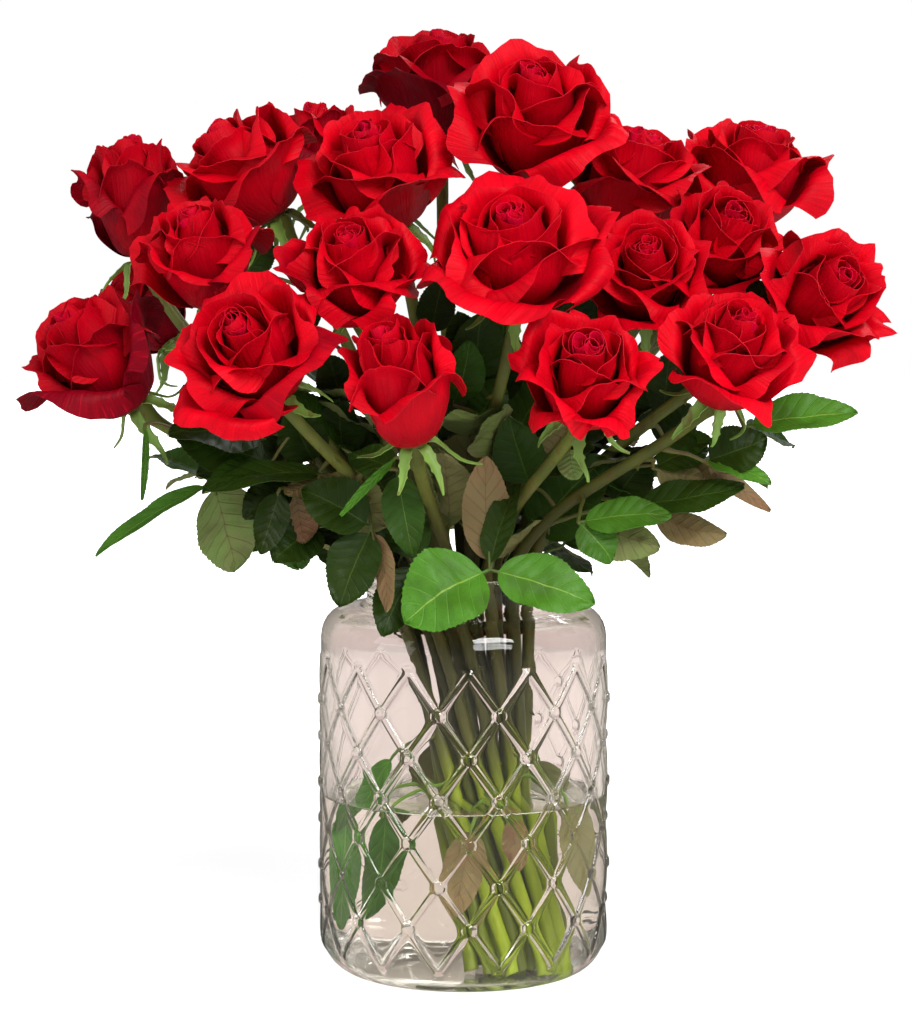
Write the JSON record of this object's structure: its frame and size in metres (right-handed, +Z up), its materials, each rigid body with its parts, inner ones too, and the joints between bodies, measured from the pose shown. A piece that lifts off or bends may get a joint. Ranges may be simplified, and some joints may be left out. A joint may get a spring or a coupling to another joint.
{
  "type": "roses in a vase",
  "caption": "Bunch of red roses with leaves, standing in a round glass jar vase with a raised diamond lattice and part filled with water.",
  "frame": {"origin": "centre of the vase's flat foot, on the surface that it stands on", "axes": "+Z up along the vase's axis; -Y is the side that the flowers face; X runs along the bunch's width"},
  "size_m": [0.4506, 0.2755, 0.5061],
  "materials": {
    "glass": "clear pressed glass",
    "water": "clear water",
    "petals": "velvety petal",
    "stems": "green stem, satin",
    "leaves": "green leaf, satin"
  },
  "bodies": {
    "root": {"glass_vase": "glass", "water": "water", "stem_a": "stems", "stem_b": "stems", "stem_c": "stems", "stem_d": "stems", "stem_e": "stems", "stem_f": "stems", "stem_g": "stems", "stem_h": "stems", "stem_i": "stems", "stem_j": "stems", "stem_k": "stems", "stem_l": "stems", "stem_m": "stems", "stem_n": "stems", "stem_o": "stems", "stem_p": "stems", "stem_q": "stems", "stem_r": "stems", "stem_s": "stems", "stem_t": "stems", "rose_a": "petals", "rose_b": "petals", "rose_c": "petals", "rose_d": "petals", "rose_e": "petals", "rose_f": "petals", "rose_g": "petals", "rose_h": "petals", "rose_i": "petals", "rose_j": "petals", "rose_k": "petals", "rose_l": "petals", "rose_m": "petals", "rose_n": "petals", "rose_o": "petals", "rose_p": "petals", "rose_q": "petals", "rose_r": "petals", "rose_s": "petals", "rose_t": "petals", "leaf_01": "leaves", "leaf_02": "leaves", "leaf_03": "leaves", "leaf_04": "leaves", "leaf_05": "leaves", "leaf_06": "leaves", "leaf_07": "leaves", "leaf_08": "leaves", "leaf_09": "leaves", "leaf_10": "leaves", "leaf_11": "leaves", "leaf_12": "leaves", "leaf_13": "leaves", "leaf_14": "leaves", "leaf_15": "leaves", "leaf_16": "leaves", "leaf_17": "leaves", "leaf_18": "leaves"}
  },
  "joints": []
}
